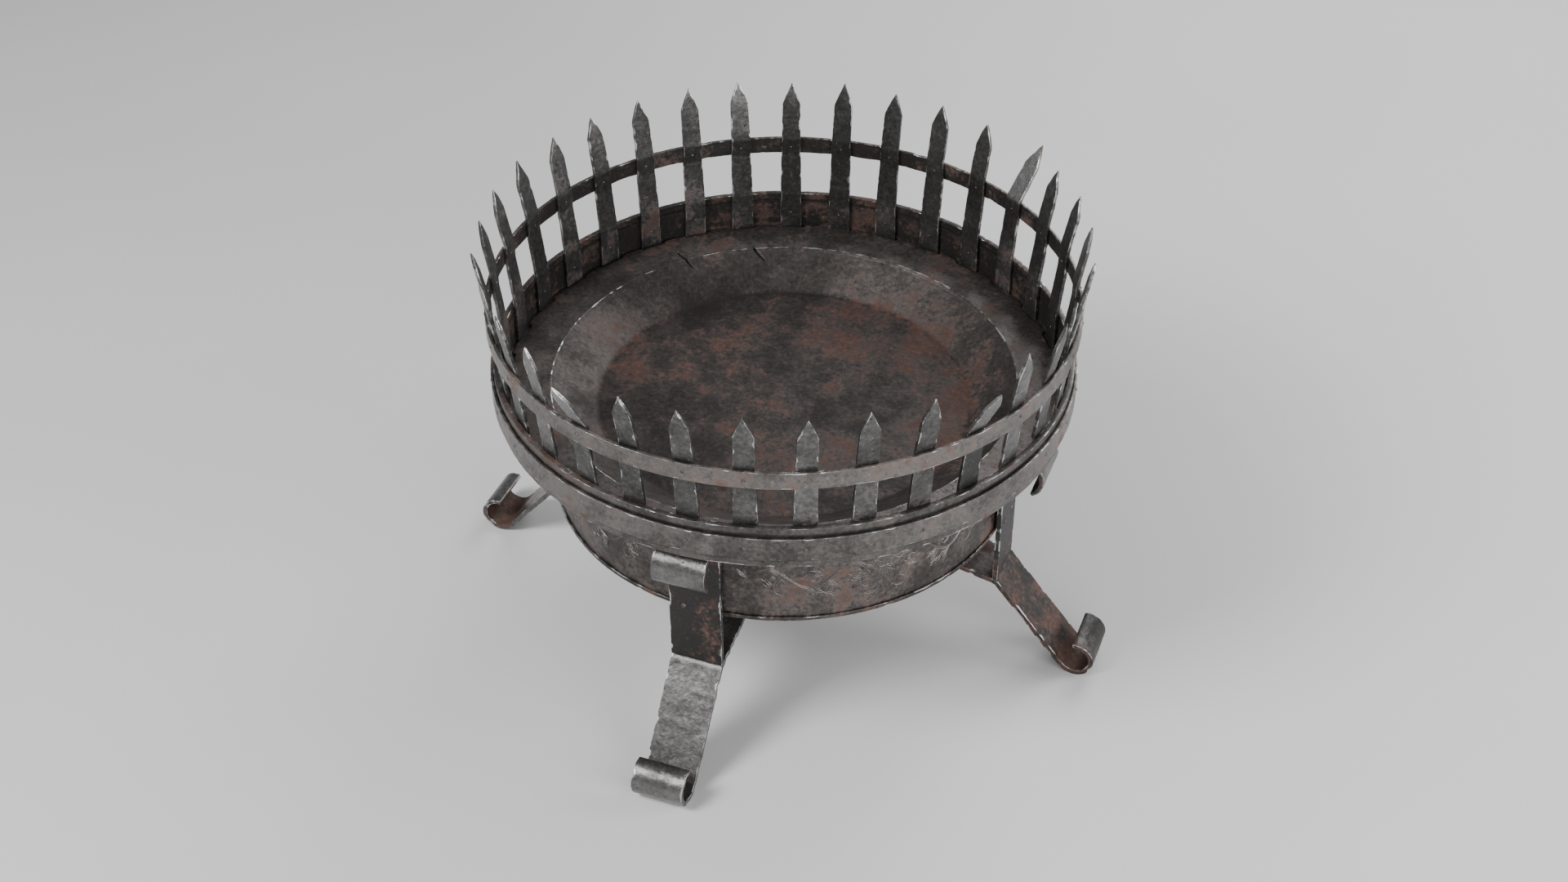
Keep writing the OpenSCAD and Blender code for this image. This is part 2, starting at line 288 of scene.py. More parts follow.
class Nodes:
    """A material's node tree, with short names for the nodes used here."""

    def __init__(self, name, offset):
        self.material = bpy.data.materials.new(name)
        self.material.use_nodes = True
        self.tree = self.material.node_tree
        self.tree.nodes.clear()
        coords = self.node("ShaderNodeTexCoord")
        place = self.node("ShaderNodeMapping")
        place.inputs["Location"].default_value = (offset, offset * 0.7, offset * 1.3)
        self.link(coords.outputs["Object"], place.inputs["Vector"])
        self.here = place.outputs[0]

    def node(self, kind, **settings):
        """A new node with these settings."""
        made = self.tree.nodes.new(kind)
        for key, value in settings.items():
            setattr(made, key, value)
        return made

    def link(self, value, socket):
        """Links an output to a socket, or sets a plain value on it."""
        if isinstance(value, bpy.types.NodeSocket):
            self.tree.links.new(value, socket)
        else:
            socket.default_value = value

    def noise(self, scale, detail, rough, squeeze=None):
        """Noise with about scale bumps to a metre, drawn out along an axis by squeeze."""
        made = self.node("ShaderNodeTexNoise")
        where = self.here
        if squeeze:
            place = self.node("ShaderNodeMapping")
            place.inputs["Scale"].default_value = squeeze
            self.link(where, place.inputs["Vector"])
            where = place.outputs[0]
        self.link(where, made.inputs["Vector"])
        self.link(scale, made.inputs["Scale"])
        self.link(detail, made.inputs["Detail"])
        self.link(rough, made.inputs["Roughness"])
        return made.outputs["Fac"]

    def cells(self, scale):
        """The distance from the middle of soft cells, with about scale cells to a metre."""
        made = self.node("ShaderNodeTexVoronoi", feature="SMOOTH_F1")
        self.link(self.here, made.inputs["Vector"])
        self.link(scale, made.inputs["Scale"])
        return made.outputs["Distance"]

    def mark(self, name):
        """A value that add_piece stored on the mesh."""
        return self.node("ShaderNodeAttribute", attribute_name=name).outputs["Fac"]

    def math(self, operation, a, b):
        """The output of a Math node."""
        made = self.node("ShaderNodeMath", operation=operation)
        self.link(a, made.inputs[0])
        self.link(b, made.inputs[1])
        return made.outputs[0]

    def total(self, *terms):
        """The sum of (value, weight) pairs."""
        result = 0.0
        for value, weight in terms:
            made = self.node("ShaderNodeMath", operation="MULTIPLY_ADD")
            self.link(value, made.inputs[0])
            self.link(weight, made.inputs[1])
            self.link(result, made.inputs[2])
            result = made.outputs[0]
        return result

    def step(self, value, low, high):
        """0 below low and 1 above high, with a smooth rise between."""
        made = self.node("ShaderNodeMapRange", interpolation_type="SMOOTHSTEP")
        self.link(value, made.inputs["Value"])
        self.link(low, made.inputs["From Min"])
        self.link(high, made.inputs["From Max"])
        return made.outputs[0]

    def blend(self, share, a, b):
        """Colour a where share is 0, and b where it is 1."""
        made = self.node("ShaderNodeMix", data_type="RGBA")
        self.link(share, made.inputs["Factor"])
        for value, socket in ((a, made.inputs[6]), (b, made.inputs[7])):
            self.link((*value, 1) if isinstance(value, tuple) else value, socket)
        return made.outputs[2]

    def lerp(self, share, a, b):
        """Value a where share is 0, and b where it is 1."""
        made = self.node("ShaderNodeMix", data_type="FLOAT")
        self.link(share, made.inputs["Factor"])
        self.link(a, made.inputs[2])
        self.link(b, made.inputs[3])
        return made.outputs[0]


# Bumps to a metre of the iron's noises, from the broadest cloud to the finest grain.
CLOUDS = 6.5
PATCHES = 30
HAMMER_MARKS = 80
FINE_MARKS = 170
GRAIN = 900
SCRATCHES = 1100
# The bump's strength and depth, and over how much of the range rust and bare metal set in.
BUMP_STRENGTH = 0.7
BUMP_DEPTH = 1.3 * MM
RUST_RISE = 0.09
WORN_RISE = 0.14


def iron_material(name, dark, mid, light, rust, bright_rust, rust_from, worn_at, shine, offset,
                  scratch_along=(1, 1, 0.03), scratches=0.3):
    """Old forged iron: uneven scale, rust in patches, bright chipped edges, scratches and pits.
    rust_from is where on the noise's range rust begins, and worn_at where bare metal does.
    scratch_along squeezes the scratches' noise, so that they run along its smallest number, and
    shine is the roughness of the palest scale."""
    n = Nodes(name, offset)
    cloud = n.noise(CLOUDS, 4, 0.55)
    patch = n.noise(PATCHES, 7, 0.62)
    fine = n.noise(FINE_MARKS, 7, 0.68)
    grain = n.noise(GRAIN, 3, 0.6)
    hammer = n.cells(HAMMER_MARKS)

    tone = n.total((cloud, 0.60), (patch, 0.34), (fine, 0.46), (n.mark("tone"), 0.10))
    colour = n.blend(n.step(tone, 0.56, 0.74), dark, mid)
    colour = n.blend(n.step(tone, 0.69, 0.90), colour, light)
    colour = n.blend(n.math("MULTIPLY", n.step(grain, 0.52, 0.70), 0.30), colour, light)

    rusty = n.total((cloud, 0.42), (patch, 0.36), (fine, 0.22), (n.mark("rust"), 0.10))
    rusty = n.math("MULTIPLY", n.step(rusty, rust_from, rust_from + RUST_RISE), 0.90)
    flecks = n.total((fine, 0.62), (grain, 0.38))
    colour = n.blend(rusty, colour, n.blend(n.step(flecks, 0.45, 0.66), rust, bright_rust))

    pits = n.step(n.total((fine, 0.72), (grain, 0.28)), 0.385, 0.33)
    pits = n.math("MAXIMUM", pits, n.step(tone, 0.45, 0.30))
    colour = n.blend(n.math("MULTIPLY", pits, 0.75), colour, tuple(x * 0.4 for x in dark))

    streak = n.noise(SCRATCHES, 2, 0.5, squeeze=scratch_along)
    lines = n.math("MULTIPLY", n.step(streak, 0.64, 0.72), n.step(fine, 0.50, 0.62))
    lines = n.math("MULTIPLY", lines, scratches)
    bare = n.total((n.mark("edge"), 0.52), (patch, 0.42), (fine, 0.34), (rusty, -0.06))
    bare = n.step(bare, worn_at, worn_at + WORN_RISE)
    shown = n.math("MAXIMUM", bare, lines)
    bare_colour = n.blend(grain, tuple(x * 0.7 for x in WORN), WORN)
    colour = n.blend(shown, colour, bare_colour)

    rough = n.lerp(n.step(tone, 0.54, 0.86), shine + 0.20, shine)
    rough = n.total((rough, 1.0), (n.math("SUBTRACT", fine, 0.5), 0.35))
    rough = n.lerp(rusty, rough, 0.74)
    rough = n.lerp(pits, rough, 0.85)
    rough = n.lerp(shown, rough, n.total((grain, 0.2), (0.18, 1.0)))
    metal = n.lerp(rusty, 0.80, 0.25)
    metal = n.lerp(shown, metal, 0.95)

    height = n.total((patch, 0.45), (fine, 0.62), (grain, 0.16), (hammer, 0.40), (pits, -0.5),
                     (lines, -0.1), (rusty, 0.08))
    bump = n.node("ShaderNodeBump")
    bump.inputs["Strength"].default_value = BUMP_STRENGTH
    bump.inputs["Distance"].default_value = BUMP_DEPTH
    n.link(height, bump.inputs["Height"])

    surface = n.node("ShaderNodeBsdfPrincipled")
    n.link(colour, surface.inputs["Base Color"])
    n.link(rough, surface.inputs["Roughness"])
    n.link(metal, surface.inputs["Metallic"])
    n.link(bump.outputs[0], surface.inputs["Normal"])
    output = n.node("ShaderNodeOutputMaterial")
    n.link(surface.outputs[0], output.inputs["Surface"])
    return n.material


# Colours of bare metal, dark rust and bright rust, and scratches that run round the rings.
WORN = (0.62, 0.615, 0.61)
BROWN = (0.058, 0.034, 0.027)
RUSSET = (0.120, 0.056, 0.039)
AROUND = (0.03, 0.03, 1)

iron = {
    "rim_iron": iron_material("rim_iron", (0.036, 0.033, 0.031), (0.084, 0.077, 0.073),
                              (0.165, 0.155, 0.149), BROWN, RUSSET, 0.520, worn_at=0.70,
                              scratch_along=AROUND, shine=0.33, offset=3.0),
    "hoop_iron": iron_material("hoop_iron", (0.046, 0.041, 0.039), (0.108, 0.099, 0.093),
                               (0.205, 0.193, 0.185), (0.085, 0.052, 0.042),
                               (0.160, 0.085, 0.063), 0.510, worn_at=0.71,
                               scratch_along=AROUND, shine=0.29, offset=9.0),
    "drum_iron": iron_material("drum_iron", (0.028, 0.024, 0.022), (0.058, 0.049, 0.045),
                               (0.170, 0.156, 0.148), (0.066, 0.035, 0.027),
                               (0.155, 0.064, 0.041), 0.510, worn_at=0.70,
                               scratch_along=AROUND, scratches=0.15, shine=0.35, offset=14.0),
    "pan_iron": iron_material("pan_iron", (0.032, 0.028, 0.026), (0.070, 0.060, 0.056),
                              (0.150, 0.137, 0.130), (0.056, 0.029, 0.022),
                              (0.150, 0.060, 0.041), 0.515, worn_at=0.72,
                              scratch_along=(0.05, 1, 1), scratches=0.16, shine=0.41,
                              offset=21.0),
    "picket_iron": iron_material("picket_iron", (0.037, 0.036, 0.035), (0.085, 0.083, 0.081),
                                 (0.205, 0.202, 0.199), BROWN, RUSSET, 0.550, scratches=0.5,
                                 shine=0.28, worn_at=0.66, offset=31.0),
    "leg_iron": iron_material("leg_iron", (0.035, 0.033, 0.032), (0.094, 0.090, 0.088),
                              (0.175, 0.171, 0.168), (0.064, 0.036, 0.028),
                              (0.145, 0.063, 0.042), 0.530, scratches=0.4, shine=0.28,
                              worn_at=0.62, offset=44.0),
    "rivet_iron": iron_material("rivet_iron", (0.050, 0.045, 0.042), (0.120, 0.110, 0.104),
                                (0.230, 0.218, 0.210), BROWN, RUSSET, 0.54, scratches=0.1,
                                shine=0.28, worn_at=0.78, offset=57.0),
}


# --- rim and fence ----------------------------------------------------

# Half width of the dark lines painted on the base band along the riveted hoop's edges, as painted
# contact shadow.
CONTACT_SHADE_HALF_W = 1.8 * MM
HOOP_STEP = 2.4 * MM
HOOP_LOSS = 0.8 * MM


def ring_of(node, thick, slot, inner_rust=0.0, contact_shade_at=(), **more):
    """A standing hoop in place of a CAD ring, whose outer radius and height come from the node's
    box. It is darker inside, and dark lines of painted contact shadow run round it at the heights
    given for them."""
    low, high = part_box(node)
    shape = hoop(high.x - thick / 2, (low.z + high.z) / 2, high.z - low.z, thick, **more)
    inside = np.hypot(shape[0][:, 0], shape[0][:, 1]) < high.x - thick * 0.6
    # Painted shade: dark lines along the riveted hoop's edges stand in for the contact shadow
    # there, and rust is lessened along them.
    contact_shade = sum(np.exp(-((shape[0][:, 2] - z) / CONTACT_SHADE_HALF_W) ** 2) for z in contact_shade_at)
    add_piece(node + "_forged", shape, slot, [node], tone=0.5 - 3 * contact_shade - 1.6 * inside,
              rust=inner_rust * inside - contact_shade)


hoop_low_z, hoop_top_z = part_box("riveted_hoop")[0].z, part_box("riveted_hoop")[1].z
ring_of("base_band", BAND_T, "rim_iron", 0.35, (hoop_low_z, hoop_top_z), across=20, through=2,
        loss=0.7 * MM, seed=3)
ring_of("riveted_hoop", HOOP_T, "hoop_iron", across=7, step=HOOP_STEP, loss=HOOP_LOSS, seed=8)
ring_of("fence_hoop", PICKET_T, "hoop_iron", across=6, step=HOOP_STEP, loss=HOOP_LOSS, seed=13)

shelf_low, shelf_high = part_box("shelf_ring")
shelf_w = band_in_r - (drum_r + SHEET_T)
add_piece("shelf_ring_plate",
          hoop(band_in_r - shelf_w / 2, (shelf_low.z + shelf_high.z) / 2, shelf_w,
               shelf_high.z - shelf_low.z, lying=True, step=6 * MM, seed=17),
          "rim_iron", ["shelf_ring"])


def chord_r(radius, width):
    """How far out a flat bar's face stands when its edges touch a ring's inside."""
    return math.sqrt(radius ** 2 - width ** 2 / 4) - 0.05 * MM


foot_face_r = chord_r(band_in_r, PICKET_FOOT_W)
fence_face_r = chord_r(rim_r - PICKET_T, PICKET_FOOT_W)
fence_low_z, fence_top_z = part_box("fence_hoop")[0].z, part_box("fence_hoop")[1].z
band_top_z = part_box("base_band")[1].z


def picket(k, node):
    """One picket's shape, and how pale it is. Its lean and length are its CAD node's, and its wear
    and point are its own. A picket that was knocked outwards is paler above the hoop."""
    chance = np.random.default_rng(100 + k)
    angle = k * PITCH
    corners = np.array([v.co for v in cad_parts[node].data.vertices])
    out = corners[:, 0] * math.cos(angle) + corners[:, 1] * math.sin(angle)
    top = corners[:, 2].max()
    tip_r = out[corners[:, 2] > top - 0.5 * MM].max()
    foot_z = corners[:, 2].min()
    lean = np.array([tip_r - fence_face_r, top - fence_top_z])
    short = 1 * MM + chance.random() ** 4 * 5 * MM
    tip = np.array([fence_face_r, fence_top_z]) + lean * (1 - short / np.linalg.norm(lean))
    back = np.array([PICKET_T / 2, 0])
    path = rounded([[foot_face_r, foot_z] - back, [foot_face_r, band_top_z] - back,
                    [fence_face_r, fence_low_z] - back, [fence_face_r, fence_top_z] - back,
                    tip - back], 5 * MM)
    path, along = even(path, 1.9 * MM)
    length = along[-1]
    centre, outward = upright_plane(path)
    to_tip = length - along
    body = np.interp(along, [0, length - POINT_LEN], [PICKET_FOOT_W, PICKET_TOP_W]) / 2
    point = body * np.clip(to_tip / POINT_LEN, 0, 1) ** chance.uniform(0.74, 0.95)
    blunt = chance.uniform(0.8, 2.4) * MM
    half = np.maximum(np.where(to_tip < POINT_LEN, point, body), blunt)
    near_tip = np.clip(1 - to_tip / POINT_LEN, 0, 1)
    sway = chance.uniform(-1.6, 1.6) * MM * (along / length) ** 2
    centre[:, 1] += chance.uniform(-1.4, 1.4) * MM * near_tip + sway
    loss = chance.uniform(0.4, 0.95) * MM * (0.5 + 0.5 * np.clip(half / (6 * MM), 0, 1))
    thick = PICKET_T * (1 - 0.45 * np.clip(1 - to_tip / (12 * MM), 0, 1))
    shape = flat_bar(centre, -outward, half, thick, loss, across=7, dents=0.28 * MM,
                     seed=5 + 3 * k)
    knocked = lean[0] > 0.35 * lean[1]
    above = np.clip((shape[0][:, 2] - fence_top_z) / (12 * MM), 0, 1)
    return turned(shape, angle), chance.uniform(-0.5, 0.3) + 3.4 * knocked * above


picket_nodes = sorted(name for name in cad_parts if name.startswith("picket_"))
for number, node in enumerate(picket_nodes):
    shape, tone = picket(number, node)
    low_down = np.clip((fence_low_z - shape[0][:, 2]) / (90 * MM), 0, 1)
    high_up = np.clip((shape[0][:, 2] - fence_top_z) / (90 * MM), 0, 1)
    add_piece(node + "_forged", shape, "picket_iron", [node], tone=tone + 0.4 * high_up,
              rust=0.4 * low_down)


# --- rivets -----------------------------------------------------------

DOME_RINGS = 4
DOME_SIDES = 12
SMALL_HEAD_R = 2.75 * MM
LEG_HEAD_R = 4.1 * MM
HEAD_RISE = 0.38
TAIL_SHARE = 0.7
TAIL_H = 1.1 * MM
SUNK = 0.4 * MM
upright_in_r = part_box("upright_1")[0].x


def spoke(angle):
    """The way straight out from the forge's axis at an azimuth."""
    return np.array([math.cos(angle), math.sin(angle), 0])


def middle_z(node):
    """The height of the middle of a node's box."""
    low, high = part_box(node)
    return (low.z + high.z) / 2


def dome(place, direction, radius, rise, seed):
    """A hammered rivet head that stands on place and points along direction."""
    direction = unit(np.array(direction, float))
    other = np.array([0, 0, 1.0]) if abs(direction[2]) < 0.9 else np.array([1.0, 0, 0])
    u = unit(np.cross(other, direction))
    v = np.cross(direction, u)
    points, edge = [], []
    for ring in range(DOME_RINGS):
        share = ring / DOME_RINGS
        for n in range(DOME_SIDES):
            turn = 2 * math.pi * n / DOME_SIDES
            reach = radius * math.cos(share * math.pi / 2) ** 0.8
            points.append(np.array(place) + reach * (math.cos(turn) * u + math.sin(turn) * v)
                          + direction * rise * math.sin(share * math.pi / 2))
            edge.append(0.1 + 0.6 * share)
    points.append(np.array(place) + direction * rise)
    edge.append(0.7)
    points = np.array(points)
    inwards = (1 + noise(points, 2.2 * MM, seed))[:, None] * 0.05
    points = points + (np.array(place) - points) * inwards
    faces = grid_faces(DOME_RINGS, DOME_SIDES, False, True)
    top, last = len(points) - 1, (DOME_RINGS - 1) * DOME_SIDES
    faces += [[last + n, last + (n + 1) % DOME_SIDES, top] for n in range(DOME_SIDES)]
    faces.append(list(range(DOME_SIDES))[::-1])
    return points, faces, np.array(edge)


def radial_heads(angle, radii, height, side, head_r, seed):
    """A domed head at the outer radius and a small hammered tail at the inner one. side is how
    far the rivet stands to one side of the spoke."""
    way = spoke(angle)
    across = np.array([-way[1], way[0], 0]) * side
    outer = way * radii[0] + across + [0, 0, height]
    inner = way * radii[1] + across + [0, 0, height]
    return [dome(outer, way, head_r, head_r * HEAD_RISE + SUNK, seed),
            dome(inner, -way, head_r * TAIL_SHARE, TAIL_H + SUNK, seed + 1)]


def picket_heads(name, node, face_r, seed):
    """A row of rivets through the pickets, whose outer faces are face_r from the axis there."""
    heads = []
    for number in range(PICKETS):
        heads += radial_heads(number * PITCH, (rim_r - SUNK, face_r - PICKET_T + SUNK),
                              middle_z(node), 0, SMALL_HEAD_R, seed + number)
    add_piece(name, joined(heads), "rivet_iron", [node])


picket_heads("band_rivet_heads", "band_rivets", foot_face_r, 200)
picket_heads("fence_rivet_heads", "fence_rivets", fence_face_r, 300)

heads = []
for leg in range(LEGS):
    for side in (-LEG_RIVET_Y, LEG_RIVET_Y):
        heads += radial_heads(leg * math.pi / 2,
                              (upright_in_r + STRAP_T - SUNK, drum_r - SHEET_T + SUNK),
                              middle_z("leg_rivets"), side, LEG_HEAD_R, 400 + leg)
add_piece("leg_rivet_heads", joined(heads), "rivet_iron", ["leg_rivets"])

floor_low, floor_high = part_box("drum_floor")
heads = []
for leg in range(LEGS):
    for x in FLOOR_RIVET_X:
        at = spoke(leg * math.pi / 2) * x
        heads.append(dome(at + [0, 0, floor_low.z - STRAP_T + SUNK], [0, 0, -1], LEG_HEAD_R,
                          LEG_HEAD_R * HEAD_RISE + SUNK, 500 + leg))
        heads.append(dome(at + [0, 0, floor_high.z - SUNK], [0, 0, 1], LEG_HEAD_R * TAIL_SHARE,
                          TAIL_H + SUNK, 510 + leg))
add_piece("floor_rivet_heads", joined(heads), "rivet_iron", ["brace_rivets"])

flange_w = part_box("drum_flange")[1].x - drum_r
flange_low_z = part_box("drum_flange")[0].z
shelf_rivet_r = drum_r + SHEET_T + (flange_w - SHEET_T) / 2
heads = []
for number in range(SHELF_RIVETS):
    at = shelf_rivet_r * spoke((number + 0.5) * 2 * math.pi / SHELF_RIVETS)
    heads.append(dome(at + [0, 0, flange_low_z + SUNK], [0, 0, -1], LEG_HEAD_R * TAIL_SHARE,
                      TAIL_H + SUNK, 600 + number))
add_piece("shelf_rivet_heads", joined(heads), "rivet_iron", ["shelf_rivets"])


# --- fire pan and drum ------------------------------------------------

def revolved(profile, edges, angles):
    """A closed skin from the axis out and back. profile holds a (radius, height) for each row and
    angle, and edges an edge value for each."""
    rows, count = profile.shape[:2]
    radius, height = profile[..., 0], profile[..., 1]
    points = np.stack([radius * np.cos(angles), radius * np.sin(angles), height], -1)
    points = points.reshape(-1, 3)
    top = [0, 0, height[0].mean()]
    bottom = [0, 0, height[-1].mean()]
    faces = grid_faces(rows, count, False, True)
    first, last = len(points), len(points) + 1
    start = (rows - 1) * count
    faces += [[(n + 1) % count, n, first] for n in range(count)]
    faces += [[start + n, start + (n + 1) % count, last] for n in range(count)]
    faces = [face[::-1] for face in faces]
    edge = np.concatenate([edges.reshape(-1), [0, 0]])
    return np.concatenate([points, [top, bottom]]), faces, edge


# Each crack of the pan's lip as (degrees of azimuth, radius in mm) from its outer end inwards.
CRACKS = (((138.0, 347), (137.9, 336), (137.6, 324), (137.2, 316), (136.7, 309)),
          ((118.9, 325), (118.3, 318), (117.5, 312), (116.7, 307), (115.9, 303)))
CRACK_HALF_W = 1.9 * MM
CRACK_DEPTH = 3.8 * MM
# The flange's outer radius where it passes a picket, how much further out the lugs between the
# pickets reach and how much that varies, the most it may be, and half a lug's width.
FLANGE_R = 378.2 * MM
LUG_REACH = 6.3 * MM
LUG_VARIES = 0.9 * MM
FLANGE_MOST_R = 385.3 * MM
LUG_HALF_W = 17.2 * MM
FLANGE_NOISE_R = 380 * MM
PITCH_SECTORS = 16
pan_low, pan_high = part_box("fire_pan")
pan_top_z = pan_high.z
bowl_floor_z = pan_low.z + SHEET_T


def pan_angles():
    """Even sectors, with finer ones across each crack."""
    angles = list(np.arange(PICKETS * PITCH_SECTORS) * PITCH / PITCH_SECTORS)
    for crack in CRACKS:
        azimuths = [azimuth for azimuth, _ in crack]
        angles += list(np.radians(np.arange(min(azimuths) - 1, max(azimuths) + 1, 0.11)))
    return np.unique(np.round(np.array(angles) % (2 * math.pi), 5))


def cracked(radii, angles):
    """1 in the middle of a crack and 0 away from it."""
    depth = np.zeros_like(radii)
    for crack in CRACKS:
        azimuth, radius = np.array(crack)[::-1].T
        line = np.radians(np.interp(radii, radius * MM, azimuth))
        off = (angles - line) * radii + 0.5 * MM * noise(radii[..., None] * [1, 0, 0], 3 * MM, 78)
        share = (radii - radius[0] * MM) / ((radius[-1] - radius[0]) * MM)
        wide = CRACK_HALF_W * np.sqrt(np.clip(4 * share * (1 - share), 0, 1)) + 0.1 * MM
        inside = (share > 0) & (share < 1)
        depth = np.maximum(depth, np.where(inside, np.exp(-(off / wide) ** 4), 0))
    return depth


def pan_shape():
    """The pan's skin, and how pale and how rusty it is."""
    angles = pan_angles()
    slope_run = LIP_R - BOWL_FLOOR_R
    stations = np.concatenate([
        np.linspace(6 * MM, BOWL_FLOOR_R - 9 * MM, 34),
        BOWL_FLOOR_R + np.array([-5, -2.5, -1, 0, 1, 2.5, 5]) * MM,
        np.linspace(BOWL_FLOOR_R + 9 * MM, LIP_R - 19 * MM, 10),
        np.arange(LIP_R - 18 * MM, LIP_R - 2 * MM, 1.3 * MM),
        LIP_R + np.array([-1.4, -0.7, 0, 0.7, 1.5]) * MM,
        np.arange(LIP_R + 3 * MM, LIP_R + 28 * MM, 1.6 * MM),
    ])
    flange_shares = np.r_[0, np.linspace(0.12, 0.93, 10), 0.975]
    start_r = stations[-1]

    gap = ((angles / PITCH) % 1 - 0.5) * PITCH * band_in_r
    lug = 1 / (1 + np.exp((np.abs(gap) - LUG_HALF_W + 1.6 * MM) / (0.9 * MM)))
    ring = FLANGE_NOISE_R * np.stack([np.cos(angles), np.sin(angles), 0 * angles], -1)
    flutter = noise(ring, 26 * MM, 71) * 0.5 + noise(ring, 8 * MM, 72) * 0.5
    edge_r = FLANGE_R + lug * (LUG_REACH + LUG_VARIES * noise(ring, 70 * MM, 73))
    edge_r = np.minimum(edge_r + (flutter - 1) * 0.9 * MM, FLANGE_MOST_R)

    def surface_z(radius):
        """The upper face before it is dented: floor, slope, then flange, with a soft bend."""
        share = np.clip((radius - BOWL_FLOOR_R) / slope_run, 0, 1)
        height = bowl_floor_z + share * (pan_top_z - bowl_floor_z)
        soft = 3 * MM
        rise = (pan_top_z - bowl_floor_z) / slope_run
        near = np.clip(1 - np.abs(radius - BOWL_FLOOR_R) / soft, 0, 1)
        return height + near ** 2 * soft * rise * 0.25

    radii = [np.full(len(angles), r) for r in stations]
    radii += [start_r + (edge_r - start_r) * s for s in flange_shares[1:]]
    radii = np.array(radii)
    place = np.stack([radii * np.cos(angles), radii * np.sin(angles), 0 * radii], -1)
    dents = (noise(place, 95 * MM, 74) * 0.8 + noise(place, 34 * MM, 75) * 0.45
             + noise(place, 12 * MM, 76) * 0.22 + noise(place, 5 * MM, 77) * 0.12) * MM
    calm = np.where(radii > LIP_R - 3 * MM, 0.55, 1.0)
    top = surface_z(radii) - 0.35 * MM + (dents - 0.9 * MM) * calm
    crack = cracked(radii, angles)
    top = top - crack * CRACK_DEPTH
    # A bright band along the lip: a rubbed edge, and partly a painted highlight along the lip's
    # bend.
    uneven = 0.62 + 0.40 * noise(place, 30 * MM, 79) + 0.50 * noise(place, 7 * MM, 80)
    edges = 1.2 * np.exp(-((radii - LIP_R) / (1.7 * MM)) ** 2) * uneven
    edges = np.maximum(edges, 0.85 * np.exp(-(edge_r - radii) / (1.6 * MM)))
    edges = np.where(crack > 0.05, -3, edges)

    slope = np.clip((radii - BOWL_FLOOR_R) / (6 * MM), 0, 1) * (radii < LIP_R)
    # The flange is paler: lighter scale, lifted further as painted light to make up for the shade
    # the rim casts on it.
    flange = radii >= LIP_R
    # crease paints shade along the bend from floor to slope, with a little rust there as well.
    crease = np.exp(-((radii - BOWL_FLOOR_R) / (2.5 * MM)) ** 2)
    # Painted shade: the flange darkens towards its outer edge, next to the band and pickets that
    # shade it.
    rim_shade = np.exp(-(edge_r - radii) / (9 * MM))
    tone = -0.05 + 0.20 * slope + 1.4 * flange - 0.9 * crease - 1.4 * rim_shade - 6 * crack
    rust = 0.20 - 0.25 * slope + 0.05 * flange + 0.2 * crease - 6 * crack

    level = np.ones_like(edge_r)
    rim = np.stack([edge_r, level * (pan_top_z - 1.7 * MM)], -1)
    rim_low = np.stack([edge_r - 0.3 * MM, level * (pan_top_z - SHEET_T + 0.7 * MM)], -1)
    under_r = radii[::-1][1:]
    under = surface_z(np.maximum(under_r - 2.2 * MM * (under_r < LIP_R + 2 * MM), 1 * MM))
    under = np.maximum(under - SHEET_T, pan_low.z + 0.05 * MM)
    pick = np.unique(np.r_[0, np.arange(1, len(under_r), 2), len(under_r) - 1])
    under_rows = np.stack([under_r, under], -1)[pick]
    profile = np.concatenate([np.stack([radii, top], -1), rim[None], rim_low[None], under_rows])

    def all_round(upper, outer, below):
        """One value per point: over the upper face, the outer edge and the underside."""
        rest = np.full((len(profile) - len(upper), len(angles)), float(below))
        rest[:2] = outer
        return np.concatenate([upper, rest])

    def with_ends(upper, below):
        """all_round, and then the two points on the axis that close the skin."""
        return np.r_[all_round(upper, 0, below).reshape(-1), upper[0, 0], below]

    shape = revolved(profile, all_round(edges, 1, 0), angles)
    return shape, with_ends(tone, -0.3), with_ends(rust, 0.4)


shape, pan_tone, pan_rust = pan_shape()
add_piece("fire_pan_pressed", shape, "pan_iron", ["fire_pan"], "pan", pan_tone, pan_rust)

DISC_SIDES = 240
disc_angles = np.arange(DISC_SIDES) * 2 * math.pi / DISC_SIDES
disc_r = np.r_[np.linspace(5 * MM, drum_r - 2 * MM, 34), drum_r - 0.3 * MM]
disc_grid = np.tile(disc_r[:, None], (1, len(disc_angles)))
disc_place = np.stack([disc_grid * np.cos(disc_angles), disc_grid * np.sin(disc_angles),
                       0 * disc_grid], -1)
buckle = (noise(disc_place, 80 * MM, 81) - 1) * 0.35 * MM
upper = np.stack([disc_grid, floor_high.z + buckle], -1)
lower = np.stack([disc_grid, floor_low.z - buckle], -1)[::-1]
disc_edges = np.tile(np.exp(-(drum_r - disc_r) / (2 * MM))[:, None], (1, len(disc_angles)))
add_piece("drum_floor_plate",
          revolved(np.concatenate([upper, lower]), np.concatenate([disc_edges, disc_edges[::-1]]),
                   disc_angles),
          "drum_iron", ["drum_floor"])

ring_of("drum_wall", SHEET_T, "drum_iron", across=16, step=4 * MM, dents=0.4 * MM, seed=23)
add_piece("drum_flange_ring",
          hoop(drum_r + flange_w / 2, middle_z("drum_flange"), flange_w, SHEET_T, lying=True,
               step=5 * MM, seed=27),
          "drum_iron", ["drum_flange"])
bead_low, bead_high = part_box("drum_bead")
bead_w = bead_high.z - bead_low.z
bead_t = bead_high.x - drum_r
add_piece("drum_bead_ring",
          hoop(drum_r + bead_t / 2, middle_z("drum_bead"), bead_w, bead_t, across=4,
               loss=0.75 * MM, seed=29),
          "drum_iron", ["drum_bead"])


# --- scrollwork on the drum -------------------------------------------

